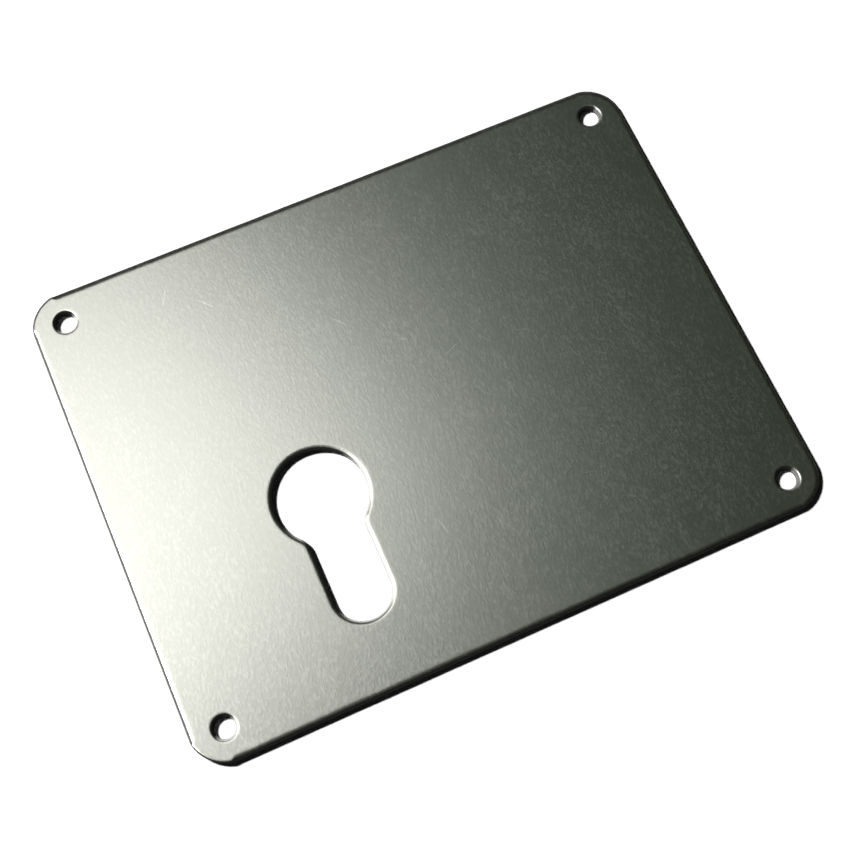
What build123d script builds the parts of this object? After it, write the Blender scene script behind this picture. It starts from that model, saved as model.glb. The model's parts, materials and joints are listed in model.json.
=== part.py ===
from build123d import *

import os

# Cylinder escutcheon: a flat sheet-metal plate that is screwed over the lock on a door,
# with four screw holes near its corners and a cut-out for a profile cylinder.
# It lies on its back on Z = 0. X runs along the long sides, and Y is up when it is fitted.
os.makedirs("parts", exist_ok=True)

# The sheet
plate_length = 125.0
plate_height = 96.0
sheet_thickness = 1.5

# The long and short sides are sheared, which rolls their front edge over
side_roll_over = 0.9

# The corners are cut off afterwards by a round tool that is set a little too far out,
# so its arc meets the sides at a slight angle and ends their rolled edge
corner_radius = 7.5
corner_overrun = 0.085
corner_roll_over = 0.45

# Screw holes, one near each corner
screw_diameter = 3.5
screw_clearance = 0.15
hole_inset_x = 6.5
hole_inset_y = 6.25
hole_roll_over = 0.7

# The profile cylinder that passes through: a round barrel with a narrower fin below it
barrel_diameter = 17.0
fin_width = 10.0
cylinder_height = 33.0
cylinder_clearance = 0.4
barrel_from_left = 38.0
barrel_from_bottom = 38.3
neck_radius = 3.5
cutout_roll_over = 0.9

# Lengths closer than this count as equal
rounding = 1e-6

# Sizes that follow from the ones above
front = Plane.XY.offset(sheet_thickness)
hole_radius = screw_diameter / 2 + screw_clearance
hole_spacing_x = plate_length - 2 * hole_inset_x
hole_spacing_y = plate_height - 2 * hole_inset_y
barrel_x = barrel_from_left - plate_length / 2
barrel_y = barrel_from_bottom - plate_height / 2
barrel_radius = barrel_diameter / 2 + cylinder_clearance
fin_half_width = fin_width / 2 + cylinder_clearance
fin_end_y = barrel_y + barrel_diameter / 2 - cylinder_height + fin_width / 2

# Corner cut: its arc is centred a radius in from each side, less the overrun,
# and reaches each side where the circle crosses it
corner_centre_x = plate_length / 2 - corner_radius + corner_overrun
corner_centre_y = plate_height / 2 - corner_radius + corner_overrun
corner_reach = (corner_radius**2 - (corner_radius - corner_overrun) ** 2) ** 0.5
corner_middle = corner_radius / 2**0.5

with BuildPart() as plate:
    # Sheared blank with its four front edges rolled over
    with BuildSketch():
        Rectangle(plate_length, plate_height)
    extrude(amount=sheet_thickness)
    fillet(plate.faces().sort_by(Axis.Z)[-1].edges(), radius=side_roll_over)

    # Corners cut through the rolled edges
    with BuildSketch() as corner_waste:
        with BuildLine():
            arc_start = (plate_length / 2, corner_centre_y + corner_reach)
            arc_middle = (corner_centre_x + corner_middle, corner_centre_y + corner_middle)
            arc_end = (corner_centre_x + corner_reach, plate_height / 2)
            beyond_x = plate_length / 2 + corner_radius
            beyond_y = plate_height / 2 + corner_radius
            ThreePointArc(arc_start, arc_middle, arc_end)
            Polyline(
                arc_end,
                (arc_end[0], beyond_y),
                (beyond_x, beyond_y),
                (beyond_x, arc_start[1]),
                arc_start,
            )
        make_face()
        mirror(about=Plane.YZ)
        mirror(about=Plane.XZ)
    extrude(amount=sheet_thickness, mode=Mode.SUBTRACT)

    # The corner cuts have a smaller roll-over of their own, which also eases the kinks
    round_walls = plate.faces().filter_by(GeomType.CYLINDER)
    corner_walls = round_walls.filter_by(lambda wall: abs(wall.radius - corner_radius) < rounding)
    corner_edges = corner_walls.edges().filter_by(lambda edge: edge.center().Z > rounding)
    fillet(corner_edges, radius=corner_roll_over)

    # Punched screw holes
    with Locations(front):
        with GridLocations(hole_spacing_x, hole_spacing_y, 2, 2):
            Hole(radius=hole_radius)
    fillet(plate.edges(Select.LAST).group_by(Axis.Z)[-1], radius=hole_roll_over)

    # Profile cut-out: barrel, fin with a round end, and eased necks between the two
    with BuildSketch() as profile:
        with Locations((barrel_x, barrel_y)):
            Circle(barrel_radius)
        with Locations((barrel_x, (barrel_y + fin_end_y) / 2)):
            Rectangle(2 * fin_half_width, barrel_y - fin_end_y)
        with Locations((barrel_x, fin_end_y)):
            Circle(fin_half_width)
        # From below, the outline's first pair of points ends the fin and the second is the necks
        fillet(profile.vertices().group_by(Axis.Y)[1], radius=neck_radius)
    extrude(amount=sheet_thickness, mode=Mode.SUBTRACT)
    fillet(plate.edges(Select.LAST).group_by(Axis.Z)[-1], radius=cutout_roll_over)

plate.part.label = "plate"
export_step(plate.part, "parts/plate.step")
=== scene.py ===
# %% [markdown]
# # A cylinder escutcheon in satin steel
#
# This lesson dresses a flat lock plate for a picture. The real plate is one piece of rolled sheet
# metal: a press shears its four sides, rounds its corners, punches a screw hole near each corner and
# punches the cut-out for a profile lock cylinder. What makes it look real sits on its edges, where
# the press pulled the metal down, and in the satin skin that the rolling mill left.
#
# The frame is the plate as it was made in CAD. It lies on its back, X runs along its long sides, and
# Z comes out of the front.

import json
import math

import bpy
from mathutils import Matrix, Vector


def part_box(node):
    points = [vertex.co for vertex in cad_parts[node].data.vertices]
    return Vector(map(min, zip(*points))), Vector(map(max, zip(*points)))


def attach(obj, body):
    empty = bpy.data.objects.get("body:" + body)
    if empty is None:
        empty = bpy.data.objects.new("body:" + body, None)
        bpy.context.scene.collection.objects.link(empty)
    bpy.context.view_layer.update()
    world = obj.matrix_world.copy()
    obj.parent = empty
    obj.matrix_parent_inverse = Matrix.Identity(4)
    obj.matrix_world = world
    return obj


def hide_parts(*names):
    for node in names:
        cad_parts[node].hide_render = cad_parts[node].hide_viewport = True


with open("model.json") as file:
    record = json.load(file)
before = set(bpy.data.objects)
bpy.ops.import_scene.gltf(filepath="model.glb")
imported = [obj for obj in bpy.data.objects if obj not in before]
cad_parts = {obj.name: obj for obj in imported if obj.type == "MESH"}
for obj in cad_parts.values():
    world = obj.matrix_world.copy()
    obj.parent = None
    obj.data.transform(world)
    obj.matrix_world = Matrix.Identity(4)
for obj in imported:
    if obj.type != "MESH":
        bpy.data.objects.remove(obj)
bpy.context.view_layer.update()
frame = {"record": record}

# %% [markdown]
# ## The sizes that the plate is drawn with
#
# Length, height and thickness come from the CAD node, and the screw holes and the place of the
# cut-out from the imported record, so that the visible plate can't drift away from the part. The other
# sizes are those of the press tools, in millimetres, as a drawing of a plate gives them.

# %% Read the sizes
mm = 0.001
low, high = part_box("plate")
length = high.x - low.x
height = high.y - low.y
thickness = high.z - low.z

mounts = {mount["name"]: mount for mount in frame["record"]["mounts"]}
holes = mounts["screw_holes"]["dims"]
hole_radius = holes["hole_r_mm"] * mm
hole_spacing = (holes["spacing_x_mm"] * mm, holes["spacing_y_mm"] * mm)
barrel_x, barrel_y, _ = mounts["cylinder_cutout"]["pos_m"]
print("plate in mm", round(length / mm, 2), round(height / mm, 2), round(thickness / mm, 2))

# %% [markdown]
# ## The outlines that the press cuts
#
# Each outline is a closed row of points. A point also knows three things: which way the metal lies
# from it, how far the press rolled the front edge over there, and how much painted shade its edge
# gets. Points run with the metal on their left: round the plate against the clock, and round
# an opening with it. The faces that are drawn out of the outlines later then all look outwards.


# %% Helpers for outlines
def along_arc(centre, radius, start, end, steps, metal_outside):
    """Points on an arc, in degrees, each with the direction in which the metal lies."""
    row = []
    for step in range(steps + 1):
        angle = math.radians(start + (end - start) * step / steps)
        out = Vector((math.cos(angle), math.sin(angle), 0.0))
        row.append((Vector((*centre, 0.0)) + radius * out, out if metal_outside else -out))
    return row


def along_line(start, end, spacing):
    """Points between two ends, without the ends themselves, and the metal on their left."""
    steps = max(2, round((end - start).length / spacing))
    along = (end - start).normalized()
    into_metal = Vector((-along.y, along.x, 0.0))
    return [(start.lerp(end, step / steps), into_metal) for step in range(1, steps)]


# %% [markdown]
# ## The corner cuts
#
# A round tool cut the four corners after the sides were sheared. It was set a trace too far out, so
# its arc meets each side at a slight kink and not in a smooth run. A rounded rectangle would lose
# that kink, so each arc is drawn by itself, about a centre that stands a little too near the corner.
# The list begins at the lower right corner and goes on against the clock.

# %% The corner arcs
corner_radius = 7.5 * mm
corner_overrun = 0.085 * mm
corner_steps = 36

corner_x = length / 2 - corner_radius + corner_overrun
corner_y = height / 2 - corner_radius + corner_overrun
kink = math.degrees(math.acos(1.0 - corner_overrun / corner_radius))
corners = []
for turn, (sign_x, sign_y) in enumerate([(1, -1), (1, 1), (-1, 1), (-1, -1)]):
    centre = (sign_x * corner_x, sign_y * corner_y)
    first = 90 * turn - 90 + kink
    last = 90 * turn - kink
    corners.append(along_arc(centre, corner_radius, first, last, corner_steps, False))
print("each corner meets its sides at a kink of", round(kink, 1), "degrees")

# %% [markdown]
# ## Sides and corners
#
# The straight sides were sheared in one stroke, and their front edges rolled over by more than a
# millimetre. The corner tool was smaller. On the left it rolled the corners over much less, so the
# broad bevel of a side stops short at those two. On the right it rolled them nearly as far as the
# sides. The list of sides begins at the right one, which follows the lower right corner.
#
# The sheared edges get painted shade all round, a little less of it on the left side. There the
# metal lies to the right of the edge, which is how the points of that side are told from the others.

# %% The outline of the plate
side_roll_overs = [1.15 * mm, 1.35 * mm, 1.15 * mm, 1.15 * mm]
corner_roll_overs = [1.1 * mm, 1.25 * mm, 0.5 * mm, 0.5 * mm]
blend_steps = 3
side_spacing = 1.0 * mm
left_side_shade = 0.75
straight_right = 0.95

plate_outline = []
for turn, arc in enumerate(corners):
    for step, (point, into_metal) in enumerate(arc):
        from_kink = min(step, corner_steps - step)
        still_side = max(0.0, 1.0 - from_kink / blend_steps)
        nearest_side = side_roll_overs[turn if step > corner_steps / 2 else turn - 1]
        corner = corner_roll_overs[turn]
        roll = corner + (nearest_side - corner) * still_side
        plate_outline.append((point, into_metal, roll))
    next_arc = corners[(turn + 1) % len(corners)]
    side = along_line(arc[-1][0], next_arc[0][0], side_spacing)
    plate_outline += [(point, into_metal, side_roll_overs[turn]) for point, into_metal in side]

# painted shade on the plate's cut edges, a little less on the left side
plate_shade = []
for _, into_metal, _ in plate_outline:
    plate_shade.append(left_side_shade if into_metal.x > straight_right else 1.0)
print("the plate's outline has", len(plate_outline), "points")

# %% [markdown]
# ## The cut-out for the lock cylinder
#
# A profile cylinder is a round barrel with a narrower fin below it. The opening follows both, with a
# little room all round. Where the barrel runs into the fin the punch has eased corners, here called
# necks, since a sharp inner corner would crack. The outline is made of arcs and lines that touch each
# other, and a neck's centre follows from that: it is as far from the barrel's centre as both radii
# together.

# %% The outline of the cut-out
cutout_roll_over = 1.0 * mm
barrel_radius = 8.9 * mm
barrel_steps = 120
fin_half_width = 5.4 * mm
fin_drop = 19.5 * mm
fin_steps = 72
fin_spacing = 0.5 * mm
neck_radius = 3.5 * mm
neck_steps = 16

fin_end_y = barrel_y - fin_drop
neck_x = fin_half_width + neck_radius
neck_drop = math.sqrt((barrel_radius + neck_radius) ** 2 - neck_x**2)
neck_y = barrel_y - neck_drop
meet = math.degrees(math.atan2(neck_drop, neck_x))

barrel = along_arc((barrel_x, barrel_y), barrel_radius, 180 + meet, -meet, barrel_steps, True)
right_neck = along_arc((barrel_x + neck_x, neck_y), neck_radius, 180 - meet, 180, neck_steps, False)
fin_end = along_arc((barrel_x, fin_end_y), fin_half_width, 0, -180, fin_steps, True)
left_neck = along_arc((barrel_x - neck_x, neck_y), neck_radius, 0, meet, neck_steps, False)
right_side = along_line(right_neck[-1][0], fin_end[0][0], fin_spacing)
left_side = along_line(fin_end[-1][0], left_neck[0][0], fin_spacing)

cutout_rows = barrel + right_neck[1:] + right_side + fin_end + left_side + left_neck[:-1]
cutout_outline = [(point, into_metal, cutout_roll_over) for point, into_metal in cutout_rows]
print("the cut-out's outline has", len(cutout_outline), "points")

# %% [markdown]
# ## Painted shade round the cut-out
#
# The flank of an opening that faces away from the lamps gets painted shade, and the opposite flank,
# which faces them, gets a painted highlight. `shaded_side` is the direction in which the metal of the
# shaded flank lies. The painted shade is full there and fades round the edge to nothing on the lit
# flank.

# %% Painted shade on the cut-out's edge
shaded_side = Vector((-0.5, 0.87, 0.0))
shade_between = 0.6
shade_contrast = 2.0

# painted shade on the flank facing away from the lamps, fading to none on the lit flank
cutout_shade = []
for _, into_metal, _ in cutout_outline:
    painted_shade = shade_contrast * into_metal.dot(shaded_side) + shade_between
    cutout_shade.append(min(1.0, max(0.0, painted_shade)))
print("the cut-out's painted shade runs from", min(cutout_shade), "to", max(cutout_shade))

# %% [markdown]
# ## Outlines as a mesh
#
# Blender keeps extra facts about a mesh's points as named attributes. The direction into the metal,
# the size of the roll-over and the painted shade go into the mesh this way. The node tree reads the
# first two back by name to shape the edge, and the materials read the painted shade to colour it.

# %% Make the outline mesh
points, loops = [], []
for outline in (plate_outline, cutout_outline):
    first = len(points)
    points += outline
    numbers = list(range(first, len(points)))
    loops += list(zip(numbers, numbers[1:] + numbers[:1]))

outline_mesh = bpy.data.meshes.new("press_outlines")
outline_mesh.from_pydata([point for point, _, _ in points], loops, [])
outline_mesh.attributes.new("into_metal", "FLOAT_VECTOR", "POINT")
outline_mesh.attributes.new("roll_over", "FLOAT", "POINT")
# this attribute holds each edge point's painted shade
outline_mesh.attributes.new("painted_shade", "FLOAT", "POINT")
directions = [value for _, into_metal, _ in points for value in into_metal]
outline_mesh.attributes["into_metal"].data.foreach_set("vector", directions)
outline_mesh.attributes["roll_over"].data.foreach_set("value", [roll for _, _, roll in points])
outline_mesh.attributes["painted_shade"].data.foreach_set("value", plate_shade + cutout_shade)

press_work = bpy.data.objects.new("press_work", outline_mesh)
bpy.context.collection.objects.link(press_work)
print("outline mesh:", len(outline_mesh.vertices), "points,", len(outline_mesh.edges), "edges")

# %% [markdown]
# ## Helpers for node trees
#
# A node tree in a script is easier to follow when one line makes one node. `add` makes a node and
# fills its sockets by name, from a value or from another node's output. `calc` and `vector` do the
# same for the two arithmetic nodes, whose sockets all share one name. `dot` stands apart, because its
# result is a plain number and comes out of another socket.


# %% Node helpers
def fill(tree, socket, value):
    """Sets one input socket, from a value or by a link."""
    if isinstance(value, bpy.types.NodeSocket):
        tree.links.new(value, socket)
    else:
        socket.default_value = value


def add(tree, kind, settings=None, **inputs):
    """Makes a node, sets its own settings, and fills the sockets named."""
    node = tree.nodes.new(kind)
    for name, value in (settings or {}).items():
        setattr(node, name, value)
    for name, value in inputs.items():
        fill(tree, node.inputs[name.replace("_", " ")], value)
    return node


def calc(tree, operation, *values):
    """A Math node's result."""
    node = add(tree, "ShaderNodeMath", {"operation": operation})
    for socket, value in zip(node.inputs, values):
        fill(tree, socket, value)
    return node.outputs[0]


def vector(tree, operation, *values, scale=None):
    """A Vector Math node's result."""
    node = add(tree, "ShaderNodeVectorMath", {"operation": operation})
    for socket, value in zip(node.inputs, values):
        fill(tree, socket, value)
    if scale is not None:
        fill(tree, node.inputs["Scale"], scale)
    return node.outputs[0]


def dot(tree, first, second):
    """How far two directions agree: 1 when they are the same, -1 when they are opposite."""
    node = add(tree, "ShaderNodeVectorMath", {"operation": "DOT_PRODUCT"})
    fill(tree, node.inputs[0], first)
    fill(tree, node.inputs[1], second)
    return node.outputs["Value"]


def offer(tree, name, kind, value=None):
    """A named input on the outside of a tree."""
    socket = tree.interface.new_socket(name, in_out="INPUT", socket_type=kind)
    if value is not None:
        socket.default_value = value
    return socket.identifier


# %% [markdown]
# ## The grain of rolled sheet
#
# The skin of the sheet shows the rolls that made it: flecks a fraction of a millimetre wide and twice
# as long, all lying one way. A fleck is a little lighter and a little rougher than the sheet between,
# and stands proud of it by next to nothing. A slower noise gathers the flecks into clouds. The map
# range cuts off nearly the lower half of the sum, so that there are light flecks on an even ground
# and no dark ones. The grain is a node group, because the sheet and its cut edges share it, and each
# material decides how much of it to use.

# %% The grain node group
fleck_share = 0.84
cloud_share = 0.16
even_ground = 0.48
lightest_fleck = 0.84

grain = bpy.data.node_groups.new("rolling_grain", "ShaderNodeTree")
offer(grain, "Vector", "NodeSocketVector")
offer(grain, "Fleck Width", "NodeSocketFloat", 0.25 * mm)
offer(grain, "Fleck Length", "NodeSocketFloat", 0.55 * mm)
grain.interface.new_socket("Height", in_out="OUTPUT", socket_type="NodeSocketFloat")
grain.interface.new_socket("Tone", in_out="OUTPUT", socket_type="NodeSocketFloat")

given = grain.nodes.new("NodeGroupInput").outputs
size = add(
    grain,
    "ShaderNodeCombineXYZ",
    X=given["Fleck Width"],
    Y=given["Fleck Length"],
    Z=given["Fleck Width"],
)
stretched = vector(grain, "DIVIDE", given["Vector"], size.outputs[0])
flecks = add(grain, "ShaderNodeTexNoise", Vector=stretched, Scale=0.6, Detail=2.0, Roughness=0.6)
cloud = add(grain, "ShaderNodeTexNoise", Vector=stretched, Scale=0.05, Detail=2.0, Roughness=0.5)
fine = calc(grain, "MULTIPLY", flecks.outputs[0], fleck_share)
mottle = calc(grain, "MULTIPLY_ADD", cloud.outputs[0], cloud_share, fine)
tone = add(
    grain,
    "ShaderNodeMapRange",
    Value=mottle,
    From_Min=even_ground,
    From_Max=lightest_fleck,
)
result = grain.nodes.new("NodeGroupOutput")
grain.links.new(flecks.outputs[0], result.inputs["Height"])
grain.links.new(tone.outputs[0], result.inputs["Tone"])
print("grain group:", len(grain.nodes), "nodes")

# %% [markdown]
# ## Hairline scratches
#
# Handling leaves a few hairlines on bare metal. A Voronoi texture scatters random spots over the
# sheet and gives each one a random colour. The group draws one short line through a spot, and the
# colour's three channels decide how the line is turned, how much it bends and how long it is. Most
# spots get a length below zero, and so no line at all. Inside the group a length of 1 is the spacing
# of the spots.

# %% Hairlines: a random place, turn and bend
most_bend = 0.8

hairlines = bpy.data.node_groups.new("hairlines", "ShaderNodeTree")
offer(hairlines, "Vector", "NodeSocketVector")
offer(hairlines, "Spacing", "NodeSocketFloat", 11.0 * mm)
offer(hairlines, "Line Width", "NodeSocketFloat", 0.12 * mm)
hairlines.interface.new_socket("Line", in_out="OUTPUT", socket_type="NodeSocketFloat")

given = hairlines.nodes.new("NodeGroupInput").outputs
closeness = calc(hairlines, "DIVIDE", 1.0, given["Spacing"])
in_spacings = vector(hairlines, "SCALE", given["Vector"], scale=closeness)
spots = add(
    hairlines,
    "ShaderNodeTexVoronoi",
    {"voronoi_dimensions": "2D"},
    Vector=in_spacings,
    Scale=1.0,
)
chance = add(hairlines, "ShaderNodeSeparateColor", Color=spots.outputs["Color"]).outputs
from_spot = vector(hairlines, "SUBTRACT", in_spacings, spots.outputs["Position"])
turned = add(
    hairlines,
    "ShaderNodeVectorRotate",
    {"rotation_type": "Z_AXIS"},
    Vector=from_spot,
    Angle=calc(hairlines, "MULTIPLY", chance["Red"], math.pi),
)
along = add(hairlines, "ShaderNodeSeparateXYZ", Vector=turned.outputs[0]).outputs
either_way = calc(hairlines, "SUBTRACT", chance["Green"], 0.5)
bend = calc(hairlines, "MULTIPLY", either_way, most_bend)
squared = calc(hairlines, "MULTIPLY", along["X"], along["X"])
bent = calc(hairlines, "MULTIPLY_ADD", squared, bend, along["Y"])
print("hairline group so far:", len(hairlines.nodes), "nodes")

# %% [markdown]
# A line is what lies within its width of the bent axis. It also stops somewhere, so it is multiplied
# by a mask that fades out at both ends.

# %% Hairlines: width and ends
reach_range = 0.5
reach_held_back = 0.33
end_fade = 0.04

width = calc(hairlines, "DIVIDE", given["Line Width"], given["Spacing"])
line = add(
    hairlines,
    "ShaderNodeMapRange",
    Value=calc(hairlines, "ABSOLUTE", bent),
    From_Max=width,
    To_Min=1.0,
    To_Max=0.0,
)
reach = calc(hairlines, "MULTIPLY", chance["Blue"], reach_range)
reach = calc(hairlines, "SUBTRACT", reach, reach_held_back)
inside = calc(hairlines, "SUBTRACT", reach, calc(hairlines, "ABSOLUTE", along["X"]))
ends = add(hairlines, "ShaderNodeMapRange", Value=inside, From_Max=end_fade)
scratch = calc(hairlines, "MULTIPLY", line.outputs[0], ends.outputs[0])
result = hairlines.nodes.new("NodeGroupOutput")
hairlines.links.new(scratch, result.inputs["Line"])
print("hairline group:", len(hairlines.nodes), "nodes")

# %% [markdown]
# ## Helpers for materials
#
# Both of the plate's finishes start in the same way, and both get painted shade on their edges, so
# these steps are written once. The painted shade on an edge is nearly black.

# %% Material helpers
# nearly black painted shade for shaded edges
painted_shade_black = (0.02, 0.02, 0.019, 1.0)


def start_material(name):
    """A new material with its tree, its shader and its object coordinates."""
    material = bpy.data.materials.new(name)
    material.use_nodes = True
    tree = material.node_tree
    place = tree.nodes.new("ShaderNodeTexCoord").outputs["Object"]
    return material, tree, tree.nodes["Principled BSDF"], place


def mix_colours(tree, factor, first, second):
    """A colour between two others."""
    node = add(tree, "ShaderNodeMix", {"data_type": "RGBA"})
    fill(tree, node.inputs[0], factor)
    fill(tree, node.inputs[6], first)
    fill(tree, node.inputs[7], second)
    return node.outputs[2]


def read_attribute(tree, name):
    """A value that the mesh's points keep under a name."""
    return add(tree, "ShaderNodeAttribute", {"attribute_name": name}).outputs["Fac"]


def painted_edge_shade(tree, bare_colour):
    """The painted shade on an edge, and the edge's colour between bare and painted shade."""
    painted_shade = read_attribute(tree, "painted_shade")
    return painted_shade, mix_colours(tree, painted_shade, bare_colour, painted_shade_black)


# %% [markdown]
# ## The satin sheet
#
# Bare steel is a metal all the way, so Metallic is 1 and its colour is that of its reflection: a grey
# with a trace of warmth. The grain makes it a little lighter in places, and the hairlines lighter
# still.
#
# Where the edge turns down, the attribute `low_edge` rises from 0 to 1, and the bare steel gives way.
# Where the edge gets painted shade it goes nearly black, and elsewhere it gets a pale matt painted
# highlight. The back looks down as well, so its height keeps it out.

# %% The satin sheet's colour
plain_steel = (0.53, 0.522, 0.477, 1.0)
fleck_steel = (0.675, 0.665, 0.607, 1.0)
scratched_steel = (0.95, 0.95, 0.9, 1.0)
scratch_strength = 0.6
# pale painted highlight for low edges without painted shade
painted_highlight = (0.68, 0.68, 0.65, 1.0)
clear_of_back = 0.3 * mm
fully_turned = 0.75

satin_sheet, tree, shader, place = start_material("satin_sheet")
sheet_grain = add(tree, "ShaderNodeGroup", {"node_tree": grain}, Vector=place)
tone = sheet_grain.outputs["Tone"]
bare = mix_colours(tree, tone, plain_steel, fleck_steel)
scratch = add(tree, "ShaderNodeGroup", {"node_tree": hairlines}, Vector=place).outputs["Line"]
scratch = calc(tree, "MULTIPLY", scratch, scratch_strength)
bare = mix_colours(tree, scratch, bare, scratched_steel)

# low edges get painted shade, or where there is none a painted highlight
painted_shade, painted_edge_colour = painted_edge_shade(tree, painted_highlight)
level = add(tree, "ShaderNodeSeparateXYZ", Vector=place).outputs["Z"]
off_the_back = calc(tree, "GREATER_THAN", level, clear_of_back)
low_edge = calc(tree, "MULTIPLY", read_attribute(tree, "low_edge"), off_the_back)
turned_down = add(tree, "ShaderNodeMapRange", Value=low_edge, From_Max=fully_turned)
colour = mix_colours(tree, turned_down.outputs[0], bare, painted_edge_colour)
tree.links.new(colour, shader.inputs["Base Color"])
print("satin sheet's colour:", len(tree.nodes), "nodes")

# %% [markdown]
# Roughness sets how wide a lamp spreads over the plate. The grain shifts it a little too, and its
# height goes to a Bump node about a hundredth of a millimetre deep. Neither the painted shade nor
# the painted highlight mirrors the room, so Metallic falls there, and roughness rises under the
# painted highlight. A specular level of 0 takes their last shine away and leaves the bare metal as it
# is.

# %% The satin sheet's gloss and relief
painted_shade_begins = 0.6
painted_shade_covers = 0.85
plain_roughness = 0.279
fleck_roughness = 0.341
highlight_roughness = 0.6
sheet_relief = 0.012 * mm

# shares of painted shade and painted highlight on the low edge; Metallic and roughness follow them
shade_share = calc(tree, "MULTIPLY", low_edge, painted_shade)
highlight_share = calc(tree, "SUBTRACT", low_edge, shade_share)
painted_shade_cover = add(tree, "ShaderNodeMapRange", Value=shade_share, From_Min=painted_shade_begins, From_Max=painted_shade_covers)
covered = calc(tree, "MAXIMUM", painted_shade_cover.outputs[0], highlight_share)
tree.links.new(calc(tree, "SUBTRACT", 1.0, covered), shader.inputs["Metallic"])
satin = add(
    tree,
    "ShaderNodeMapRange",
    Value=tone,
    To_Min=plain_roughness,
    To_Max=fleck_roughness,
).outputs[0]
spread = add(tree, "ShaderNodeMapRange", Value=highlight_share, To_Min=satin, To_Max=highlight_roughness)
tree.links.new(spread.outputs[0], shader.inputs["Roughness"])
shader.inputs["Specular IOR Level"].default_value = 0.0
relief = add(
    tree,
    "ShaderNodeBump",
    Height=sheet_grain.outputs["Height"],
    Strength=1.0,
    Distance=sheet_relief,
)
tree.links.new(relief.outputs[0], shader.inputs["Normal"])
print("satin sheet:", len(tree.nodes), "nodes")

# %% [markdown]
# ## The cut wall
#
# Below the rolled edge the blade slid through the metal and burnished it. Further down the sheet
# simply tore, and that part is rough and dull. The grain, with shorter flecks, makes the line between
# the two bands ragged. The painted shade runs down the wall too.

# %% The cut wall material
burnished_steel = (0.30, 0.30, 0.28, 1.0)
torn_steel = (0.15, 0.15, 0.14, 1.0)
wall_fleck = 0.12 * mm
raggedness = 0.3 * mm
tear_begins = 0.55 * mm
tear_complete = 0.45 * mm
painted_shade_on_wall = 0.85
burnished_roughness = 0.28
torn_roughness = 0.65
wall_relief = 0.01 * mm

cut_wall, tree, shader, place = start_material("cut_wall")
wall_grain = add(
    tree,
    "ShaderNodeGroup",
    {"node_tree": grain},
    Vector=place,
    Fleck_Width=wall_fleck,
    Fleck_Length=wall_fleck,
)
wall_height = add(tree, "ShaderNodeSeparateXYZ", Vector=place).outputs["Z"]
ragged = calc(tree, "MULTIPLY_ADD", wall_grain.outputs["Tone"], raggedness, wall_height)
torn = add(
    tree,
    "ShaderNodeMapRange",
    Value=ragged,
    From_Min=tear_begins,
    From_Max=tear_complete,
).outputs[0]
bare = mix_colours(tree, torn, burnished_steel, torn_steel)
# painted shade down the wall
painted_shade, colour = painted_edge_shade(tree, bare)
tree.links.new(colour, shader.inputs["Base Color"])
metal = add(tree, "ShaderNodeMapRange", Value=painted_shade, From_Min=painted_shade_on_wall, To_Min=1.0, To_Max=0.0)
tree.links.new(metal.outputs[0], shader.inputs["Metallic"])
rough = calc(tree, "MAXIMUM", torn, painted_shade)
spread = add(
    tree,
    "ShaderNodeMapRange",
    Value=rough,
    To_Min=burnished_roughness,
    To_Max=torn_roughness,
)
tree.links.new(spread.outputs[0], shader.inputs["Roughness"])
shader.inputs["Specular IOR Level"].default_value = 0.0
relief = add(
    tree,
    "ShaderNodeBump",
    Height=wall_grain.outputs["Height"],
    Strength=1.0,
    Distance=wall_relief,
)
tree.links.new(relief.outputs[0], shader.inputs["Normal"])
print("cut wall:", len(tree.nodes), "nodes")

# %% [markdown]
# ## The press as a node tree
#
# The plate has the same edge everywhere, so its shape follows a rule, and a rule is what Geometry
# Nodes is for. The tree takes the outlines, adds the four screw holes by placing one circle on the
# points of a 2 by 2 grid, and then draws every outline down the section of a sheared edge: over the
# roll-over, down the burnished band, and down the torn band, which leans back under the plate a
# little. Filling the first and the last ring gives the front and the back.
#
# The section of a roll-over is a quarter of an ellipse. Its depth is a share of its width: less than
# its width along the sides and the cut-out, and more at the small holes, which the punch drew in.

# %% The tree and its inputs
press = bpy.data.node_groups.new("sheared_sheet", "GeometryNodeTree")
press.is_modifier = True
offer(press, "Outlines", "NodeSocketGeometry")
settings = {
    offer(press, "Thickness", "NodeSocketFloat"): thickness,
    offer(press, "Hole Radius", "NodeSocketFloat"): hole_radius,
    offer(press, "Hole Spacing X", "NodeSocketFloat"): hole_spacing[0],
    offer(press, "Hole Spacing Y", "NodeSocketFloat"): hole_spacing[1],
    offer(press, "Hole Roll-over", "NodeSocketFloat"): 0.7 * mm,
    offer(press, "Hole Depth", "NodeSocketFloat"): 1.35,
    offer(press, "Edge Depth", "NodeSocketFloat"): 0.6,
    offer(press, "Roll-over Steps", "NodeSocketInt"): 10,
    offer(press, "Unevenness", "NodeSocketFloat"): 0.12,
    offer(press, "Seed", "NodeSocketFloat"): 4.0,
    offer(press, "Torn Height", "NodeSocketFloat"): 0.35 * mm,
    offer(press, "Torn Lean", "NodeSocketFloat"): 0.04 * mm,
    offer(press, "Sheet Finish", "NodeSocketMaterial"): satin_sheet,
    offer(press, "Wall Finish", "NodeSocketMaterial"): cut_wall,
}
press.interface.new_socket("Plate", in_out="OUTPUT", socket_type="NodeSocketGeometry")
given = press.nodes.new("NodeGroupInput").outputs
here = press.nodes.new("GeometryNodeInputPosition").outputs[0]
print("press tree:", len(settings), "sizes and finishes to set")

# %% [markdown]
# ## One screw hole
#
# A punched hole gets the same facts as the outlines, so that the tree can treat all edges alike. Its
# direction into the metal is simply the way out from the centre of the circle. The circle is mirrored
# to run with the clock, as the outline of an opening does.


# %% One hole from a circle
def keep(geometry, name, kind, value):
    """Stores a value on every point, under a name."""
    return add(
        press,
        "GeometryNodeStoreNamedAttribute",
        {"data_type": kind, "domain": "POINT"},
        Geometry=geometry,
        Name=name,
        Value=value,
    ).outputs[0]


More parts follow.
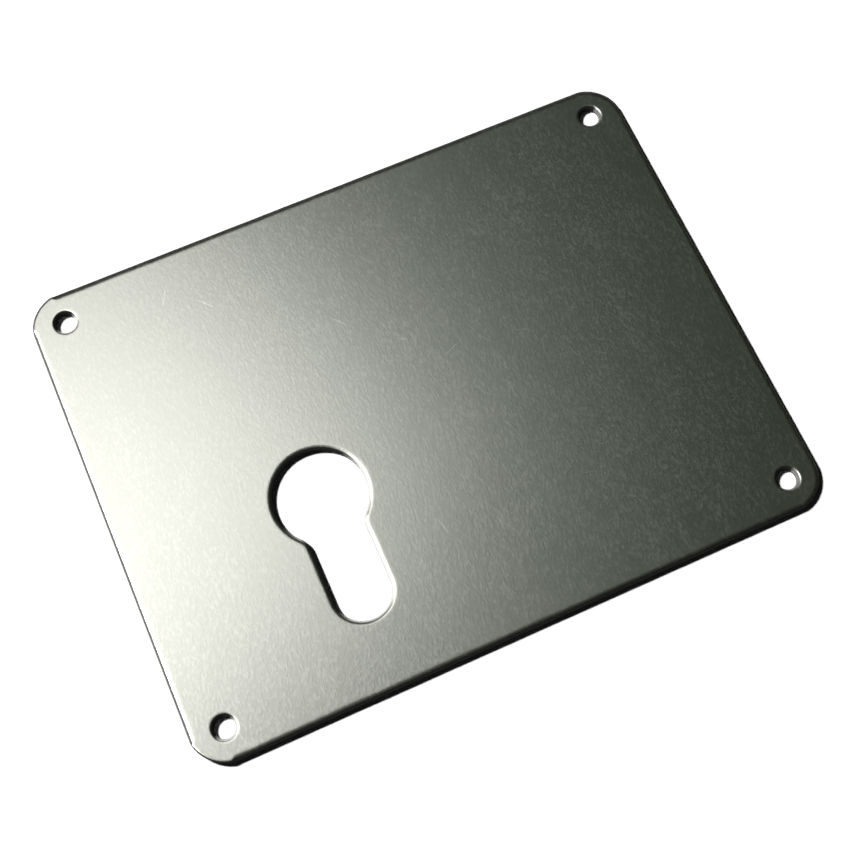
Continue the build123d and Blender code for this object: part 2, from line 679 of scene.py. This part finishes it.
def recall(name, kind):
    """Reads a value back from the points, by its name."""
    return add(press, "GeometryNodeInputNamedAttribute", {"data_type": kind}, Name=name).outputs[0]


hole_points = 96
circle = add(press, "GeometryNodeMeshCircle", Vertices=hole_points, Radius=given["Hole Radius"])
clockwise = add(
    press,
    "GeometryNodeTransform",
    Geometry=circle.outputs["Mesh"],
    Scale=(1.0, -1.0, 1.0),
)
outwards = vector(press, "NORMALIZE", here)
one_hole = keep(clockwise.outputs[0], "into_metal", "FLOAT_VECTOR", outwards)
one_hole = keep(one_hole, "roll_over", "FLOAT", given["Hole Roll-over"])
print("press tree with one hole:", len(press.nodes), "nodes")

# %% [markdown]
# ## Four screw holes
#
# Instance on Points sets the one hole on the corners of a grid, so a change to the spacing moves all
# four. Their painted shade is stored after the instances are made real, because it depends on the
# place: the flanks that face away from the lamps get it, and the two holes on the right get more of it
# all round, as painted shade for the light that falls off to the right. At the end the holes join the
# other outlines, and each outline learns how deep its roll-over is for its width.

# %% Place the holes, paint their shade and join them
shade_begins = -0.3
shade_full = 0.2
right_hole_shade = 0.6

places = add(
    press,
    "GeometryNodeMeshGrid",
    Size_X=given["Hole Spacing X"],
    Size_Y=given["Hole Spacing Y"],
    Vertices_X=2,
    Vertices_Y=2,
)
four_holes = add(
    press,
    "GeometryNodeInstanceOnPoints",
    Points=places.outputs["Mesh"],
    Instance=one_hole,
)
made_real = add(press, "GeometryNodeRealizeInstances", Geometry=four_holes.outputs[0]).outputs[0]

# painted shade on hole flanks facing away from the lamps, and more on the right-hand holes
into_metal = recall("into_metal", "FLOAT_VECTOR")
turned_away = dot(press, into_metal, tuple(shaded_side))
shaded_flank = add(
    press,
    "ShaderNodeMapRange",
    Value=turned_away,
    From_Min=shade_begins,
    From_Max=shade_full,
)
far_right = add(press, "ShaderNodeSeparateXYZ", Vector=here).outputs["X"]
shade_to_right = add(
    press,
    "ShaderNodeMapRange",
    Value=far_right,
    From_Max=length / 2,
    To_Max=right_hole_shade,
)
hole_shade = calc(press, "MAXIMUM", shaded_flank.outputs[0], shade_to_right.outputs[0])
stained = keep(made_real, "painted_shade", "FLOAT", hole_shade)

sheared = keep(given["Outlines"], "roll_depth", "FLOAT", given["Edge Depth"])
punched = keep(stained, "roll_depth", "FLOAT", given["Hole Depth"])
all_outlines = press.nodes.new("GeometryNodeJoinGeometry")
press.links.new(sheared, all_outlines.inputs[0])
press.links.new(punched, all_outlines.inputs[0])
print("press tree with four holes:", len(press.nodes), "nodes")

# %% [markdown]
# ## An uneven roll-over
#
# A press never rolls an edge over evenly, so a slow noise along the outline makes the roll-over a
# little wider here and narrower there. The noise has to stay the same while the points move, so
# Capture Attribute first takes down where each point of an outline was.

# %% Make the roll-over waver
wavers_per_metre = 220.0

kept = press.nodes.new("GeometryNodeCaptureAttribute")
kept.capture_items.new("VECTOR", "Outline Point")
press.links.new(all_outlines.outputs[0], kept.inputs[0])
press.links.new(here, kept.inputs[1])
outlines = kept.outputs[0]
outline_point = kept.outputs[1]

noise = add(
    press,
    "ShaderNodeTexNoise",
    {"noise_dimensions": "4D"},
    Vector=outline_point,
    W=given["Seed"],
    Scale=wavers_per_metre,
    Detail=1.0,
)
waver = calc(press, "SUBTRACT", noise.outputs[0], 0.5)
waver = calc(press, "MULTIPLY_ADD", waver, calc(press, "MULTIPLY", given["Unevenness"], 2.0), 1.0)
roll = calc(press, "MULTIPLY", recall("roll_over", "FLOAT"), waver)
depth = calc(press, "MULTIPLY", roll, recall("roll_depth", "FLOAT"))
print("press tree with the wavering roll-over:", len(press.nodes), "nodes")

# %% [markdown]
# ## Rings round the edge
#
# `ring` is the heart of the tree. It says where a point of an outline goes when it moves some way into
# the metal and to some height. `draw_out` then extrudes the last ring's edges and sets the new points
# on the next ring, so the faces between two rings come by themselves.


# %% Where a ring lies and how it is reached
def ring(inset, level):
    """The place of each outline point on a ring of the edge's section."""
    up = add(press, "ShaderNodeCombineXYZ", Z=level).outputs[0]
    across = vector(press, "SCALE", into_metal, scale=inset)
    return vector(press, "ADD", vector(press, "ADD", outline_point, across), up)


def outlines_at(position):
    """All the outlines, moved to a ring."""
    moved = add(press, "GeometryNodeSetPosition", Geometry=outlines, Position=position)
    return moved.outputs[0]


def draw_out(geometry, edges, position):
    """Draws edges out to a new ring, and returns the mesh, the new edges and the new faces."""
    drawn = add(
        press,
        "GeometryNodeExtrudeMesh",
        {"mode": "EDGES"},
        Mesh=geometry,
        Selection=edges,
        Offset_Scale=0.0,
    )
    moved = add(
        press,
        "GeometryNodeSetPosition",
        Geometry=drawn.outputs["Mesh"],
        Selection=drawn.outputs["Top"],
        Position=position,
    )
    return moved.outputs[0], drawn.outputs["Top"], drawn.outputs["Side"]


# %% [markdown]
# ## Over the edge
#
# The first ring lies on the flat front, a little inside the roll-over, so that the front keeps a
# narrow flat border of its own. From there a repeat zone goes over the quarter ellipse in equal steps
# of its angle, which puts more rings where the curve is tight.

# %% Draw the roll-over
front_border = 0.3 * mm
front_ring = ring(calc(press, "ADD", roll, front_border), given["Thickness"])
flat, edges, _ = draw_out(outlines_at(front_ring), True, ring(roll, given["Thickness"]))

zone_start = press.nodes.new("GeometryNodeRepeatInput")
zone_end = press.nodes.new("GeometryNodeRepeatOutput")
zone_start.pair_with_output(zone_end)
zone_end.repeat_items.new("BOOLEAN", "Edges")
press.links.new(given["Roll-over Steps"], zone_start.inputs["Iterations"])
press.links.new(flat, zone_start.inputs["Geometry"])
press.links.new(edges, zone_start.inputs["Edges"])

done = calc(press, "ADD", zone_start.outputs["Iteration"], 1.0)
done = calc(press, "DIVIDE", done, given["Roll-over Steps"])
angle = calc(press, "MULTIPLY", calc(press, "SUBTRACT", 1.0, done), math.pi / 2)
inset = calc(press, "MULTIPLY", roll, calc(press, "SUBTRACT", 1.0, calc(press, "COSINE", angle)))
drop = calc(press, "MULTIPLY", depth, calc(press, "SUBTRACT", 1.0, calc(press, "SINE", angle)))
level = calc(press, "SUBTRACT", given["Thickness"], drop)
rolled, edges, _ = draw_out(
    zone_start.outputs["Geometry"],
    zone_start.outputs["Edges"],
    ring(inset, level),
)
press.links.new(rolled, zone_end.inputs["Geometry"])
press.links.new(edges, zone_end.inputs["Edges"])
print("press tree with the roll-over:", len(press.nodes), "nodes")

# %% [markdown]
# ## Down the wall
#
# Below the roll-over two more rings make the wall: the burnished band drops straight down, and the
# torn band leans back to the edge of the back. These two bands get the wall's finish, and all that
# was drawn before them gets the sheet's.

# %% Draw the wall and give its finish
back_ring = ring(given["Torn Lean"], 0.0)
burnished, edges, burnished_faces = draw_out(
    zone_end.outputs["Geometry"],
    zone_end.outputs["Edges"],
    ring(0.0, given["Torn Height"]),
)
torn, edges, torn_faces = draw_out(burnished, edges, back_ring)

wall = add(
    press,
    "GeometryNodeSetMaterial",
    Geometry=torn,
    Material=given["Sheet Finish"],
)
wall = add(
    press,
    "GeometryNodeSetMaterial",
    Geometry=wall.outputs[0],
    Selection=calc(press, "MAXIMUM", burnished_faces, torn_faces),
    Material=given["Wall Finish"],
)
print("press tree with the wall:", len(press.nodes), "nodes")

# %% [markdown]
# ## Front and back
#
# Front and back are filled from the same two rings that the walls end on, so their points coincide
# and merging by distance closes the seams. Fill Curve lays its sheet at height zero and facing up, so
# the front is lifted into place and the back is turned over.


# %% Close the front and the back
def cover(position):
    """A flat sheet between the outlines, at a ring."""
    curves = add(press, "GeometryNodeMeshToCurve", Mesh=outlines_at(position))
    filled = add(press, "GeometryNodeFillCurve", Curve=curves.outputs[0])
    return filled.outputs[0]


merge_distance = 0.002 * mm
lift = add(press, "ShaderNodeCombineXYZ", Z=given["Thickness"]).outputs[0]
front = add(press, "GeometryNodeTransform", Geometry=cover(front_ring), Translation=lift)
back = add(press, "GeometryNodeFlipFaces", Mesh=cover(back_ring))
covers = press.nodes.new("GeometryNodeJoinGeometry")
press.links.new(front.outputs[0], covers.inputs[0])
press.links.new(back.outputs[0], covers.inputs[0])
covers = add(
    press,
    "GeometryNodeSetMaterial",
    Geometry=covers.outputs[0],
    Material=given["Sheet Finish"],
)
whole = press.nodes.new("GeometryNodeJoinGeometry")
press.links.new(wall.outputs[0], whole.inputs[0])
press.links.new(covers.outputs[0], whole.inputs[0])
closed = add(
    press,
    "GeometryNodeMergeByDistance",
    Geometry=whole.outputs[0],
    Distance=merge_distance,
)
print("press tree with front and back:", len(press.nodes), "nodes")

# %% [markdown]
# ## Shading and the low edge
#
# The roll-over is shaded smooth, and the wall meets the back at a sharp edge. The last node looks at
# how far each point's normal leans out of the upright and keeps it as `low_edge`, which the satin
# sheet reads.

# %% Shade the plate and mark its low edge
sharp_from = math.radians(50)
still_upright = 0.95
turned_over = 0.82

smooth = add(press, "GeometryNodeSetShadeSmooth", Geometry=closed.outputs[0], Shade_Smooth=True)
edge_angle = press.nodes.new("GeometryNodeInputMeshEdgeAngle").outputs[0]
sharp = add(
    press,
    "GeometryNodeSetShadeSmooth",
    {"domain": "EDGE"},
    Geometry=smooth.outputs[0],
    Selection=calc(press, "GREATER_THAN", edge_angle, sharp_from),
    Shade_Smooth=False,
)
normal = press.nodes.new("GeometryNodeInputNormal").outputs[0]
facing_up = add(press, "ShaderNodeSeparateXYZ", Vector=normal).outputs["Z"]
low_edge = add(
    press,
    "ShaderNodeMapRange",
    Value=facing_up,
    From_Min=still_upright,
    From_Max=turned_over,
)
marked = keep(sharp.outputs[0], "low_edge", "FLOAT", low_edge.outputs[0])
last = press.nodes.new("NodeGroupOutput")
press.links.new(marked, last.inputs["Plate"])
print("press tree:", len(press.nodes), "nodes")

# %% [markdown]
# ## From the tree to a plain mesh
#
# The tree's inputs are set before it runs for the first time. Then its result is copied into a plain
# mesh, and the outlines and the modifier go, so that just the plate is left. It stands
# for the CAD node and rides on the same body. The bare outlines leave an empty material slot behind,
# which is taken out.

# %% Run the press once
modifier = press_work.modifiers.new("press", "NODES")
modifier.node_group = press
for identifier, value in settings.items():
    modifier[identifier] = value
bpy.context.view_layer.update()
graph = bpy.context.evaluated_depsgraph_get()
plate_mesh = bpy.data.meshes.new_from_object(press_work.evaluated_get(graph))
press_work.modifiers.clear()
bpy.data.objects.remove(press_work)

plate_mesh.name = "pressed_plate"
empty = [number for number, finish in enumerate(plate_mesh.materials) if finish is None]
for number in reversed(empty):
    plate_mesh.materials.pop(index=number)
plate = bpy.data.objects.new("pressed_plate", plate_mesh)
bpy.context.collection.objects.link(plate)
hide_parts("plate")
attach(plate, "root")
for number, finish in enumerate(plate_mesh.materials):
    faces = [face for face in plate_mesh.polygons if face.material_index == number]
    print(finish.name, "is on", len(faces), "faces")

# %% [markdown]
# ## Is it closed, and does it face outwards?
#
# The volume is summed from the triangles, each with the origin as the tip of a pyramid. It is a quick
# test that the faces look outwards: it would be negative if they looked in. It should also come close
# to the sheet's area times its thickness.

# %% Measure the volume
plate_mesh.calc_loop_triangles()
volume = 0.0
for triangle in plate_mesh.loop_triangles:
    a, b, c = [plate_mesh.vertices[number].co for number in triangle.vertices]
    volume += a.dot(b.cross(c)) / 6
print("plate:", len(plate_mesh.loop_triangles), "triangles,", round(volume / mm**3), "cubic mm")

# %% [markdown]
# ## The table that the plate lies on
#
# A white table top under one lamp is all that the background needs. It catches the thin shadow under
# the plate's edges and in its openings, and that shadow is what tells the eye how thin the plate is.
# It lies a hair below the plate's back, since two faces in one place would flicker.

# %% The floor
floor_reach = 12.0
floor_gap = 0.01 * mm

floor_corners = [
    (-floor_reach, -floor_reach, 0),
    (floor_reach, -floor_reach, 0),
    (floor_reach, floor_reach, 0),
    (-floor_reach, floor_reach, 0),
]
floor_mesh = bpy.data.meshes.new("floor")
floor_mesh.from_pydata(floor_corners, [], [(0, 1, 2, 3)])
floor = bpy.data.objects.new("floor", floor_mesh)
floor.location.z = -floor_gap
bpy.context.collection.objects.link(floor)
print("the floor is", 2 * floor_reach, "m wide")

# %% [markdown]
# Away from the plate the table glows a little, for the camera and for mirrors, so that it stays white
# to its far end. Close to the plate the glow is gone and the shadow is left as the lamp draws it. The
# Light Path node tells which rays are looking, and which only carry light.


# %% The white table finish
def looking(tree):
    """1 for a ray from the camera, from a mirror or through glass, and 0 for one that lights."""
    path = tree.nodes.new("ShaderNodeLightPath").outputs
    direct = calc(tree, "MAXIMUM", path["Is Camera Ray"], path["Is Glossy Ray"])
    return calc(tree, "MAXIMUM", direct, path["Is Transmission Ray"])


near_glow = 0.12
near_glow_begins = 2.0 * mm
near_glow_full = 12.0 * mm
far_glow_begins = 0.2
far_glow_full = 0.8

white_table, tree, shader, place = start_material("white_table")
shader.inputs["Base Color"].default_value = (0.96, 0.96, 0.96, 1.0)
shader.inputs["Roughness"].default_value = 0.9
shader.inputs["Specular IOR Level"].default_value = 0.1
shader.inputs["Emission Color"].default_value = (1.0, 1.0, 1.0, 1.0)
spot = add(tree, "ShaderNodeSeparateXYZ", Vector=vector(tree, "ABSOLUTE", place)).outputs
beyond_x = calc(tree, "SUBTRACT", spot["X"], length / 2)
beyond_y = calc(tree, "SUBTRACT", spot["Y"], height / 2)
beyond = calc(tree, "MAXIMUM", beyond_x, beyond_y)
near = add(
    tree,
    "ShaderNodeMapRange",
    Value=beyond,
    From_Min=near_glow_begins,
    From_Max=near_glow_full,
    To_Max=near_glow,
)
far = add(
    tree,
    "ShaderNodeMapRange",
    Value=beyond,
    From_Min=far_glow_begins,
    From_Max=far_glow_full,
)
glow = calc(tree, "MAXIMUM", near.outputs[0], far.outputs[0])
tree.links.new(calc(tree, "MULTIPLY", looking(tree), glow), shader.inputs["Emission Strength"])
floor_mesh.materials.append(white_table)
print("white table:", len(tree.nodes), "nodes")

# %% [markdown]
# ## Lamps
#
# A satin metal shows a lamp as a broad glow, so the place of the lamp matters more than its strength.
# The fill lamp is broad and hangs nearly overhead. The camera sees its glow at the plate's left end,
# and the glow fades to the right. The key lamp stands lower on the left, and only the wide foot of its
# glow reaches across to the right end. A third lamp lights the table and draws the plate's shadow on
# it. Light linking keeps each lamp to its own object, so that the table can be white without more
# light on the metal.

# %% Three lamps
lamp_distance = 2.0


def shine_on(thing, name, slope_x, slope_y, size, power):
    """A square lamp that lights one thing, from a direction given by its slopes."""
    data = bpy.data.lights.new(name, "AREA")
    data.shape = "SQUARE"
    data.size = size
    data.energy = power
    lamp = bpy.data.objects.new(name, data)
    lamp.location = Vector((slope_x, slope_y, 1.0)).normalized() * lamp_distance
    lamp.rotation_euler = lamp.location.to_track_quat("Z", "Y").to_euler()
    bpy.context.collection.objects.link(lamp)
    lit = bpy.data.collections.new("lit_by_" + name)
    lit.objects.link(thing)
    lamp.light_linking.receiver_collection = lit
    print(name, "lamp of", power, "W lights", thing.name)


shine_on(plate, "key", slope_x=-0.7, slope_y=0.25, size=0.26, power=46.0)
shine_on(plate, "fill", slope_x=-0.15, slope_y=0.35, size=0.8, power=4.4)
shine_on(floor, "table", slope_x=-0.58, slope_y=0.68, size=0.26, power=61.0)

# %% [markdown]
# ## The room
#
# The room is dim. The metal mirrors a dark ceiling with a soft greenish patch on it, which tints the
# plate's middle, and grey walls near the horizon, which show when the plate is seen from the side. In
# a world's tree, Generated coordinates are the direction of the ray, so the patch is a matter of how
# near that direction is to its middle, and the walls of how low it is.

# %% The dim room
dark_ceiling = (0.004, 0.010, 0.001, 1.0)
greenish_patch = (0.004, 0.058, 0.038, 1.0)
grey_walls = (0.12, 0.12, 0.12, 1.0)
dim_light = (0.006, 0.006, 0.006, 1.0)
patch_middle = Vector((0.02, 0.32, 1.0)).normalized()
patch_inner = math.radians(10)
patch_outer = math.radians(18)
walls_begin = 0.4
walls_full = 0.2

world = bpy.data.worlds.new("dim_room")
world.use_nodes = True
bpy.context.scene.world = world
tree = world.node_tree
towards = tree.nodes.new("ShaderNodeTexCoord").outputs["Generated"]
patch = add(
    tree,
    "ShaderNodeMapRange",
    Value=dot(tree, towards, tuple(patch_middle)),
    From_Min=math.cos(patch_outer),
    From_Max=math.cos(patch_inner),
)
ceiling = mix_colours(tree, patch.outputs[0], dark_ceiling, greenish_patch)
upwards = add(tree, "ShaderNodeSeparateXYZ", Vector=towards).outputs["Z"]
walls = add(tree, "ShaderNodeMapRange", Value=upwards, From_Min=walls_begin, From_Max=walls_full)
room = mix_colours(tree, walls.outputs[0], ceiling, grey_walls)
room = mix_colours(tree, looking(tree), dim_light, room)
tree.links.new(room, tree.nodes["Background"].inputs["Color"])
print("dim room:", len(tree.nodes), "nodes")

# %% [markdown]
# ## Camera
#
# The camera hangs a quarter of a metre above the plate, a little beyond its lower edge, and looks down
# on it. It leans, so that the plate's top edge climbs to the right.

# %% The camera
eye = Vector((-36.10, -78.62, 247.15)) * mm
aim = Vector((-1.12, -4.62, 0.0)) * mm
lean = math.radians(23.95)
field_of_view = math.radians(34.23)

camera_data = bpy.data.cameras.new("camera")
camera_data.angle = field_of_view
camera_data.clip_start = 0.01
camera = bpy.data.objects.new("camera", camera_data)
bpy.context.collection.objects.link(camera)
ahead = (aim - eye).normalized()
right = ahead.cross(Vector((math.sin(lean), math.cos(lean), 0.0))).normalized()
above = right.cross(ahead)
camera.matrix_world = Matrix.Translation(eye) @ Matrix((right, above, -ahead)).transposed().to_4x4()
bpy.context.scene.camera = camera
bpy.context.scene.view_settings.view_transform = "Standard"
print("the camera is", round((aim - eye).length / mm), "mm from what it looks at")
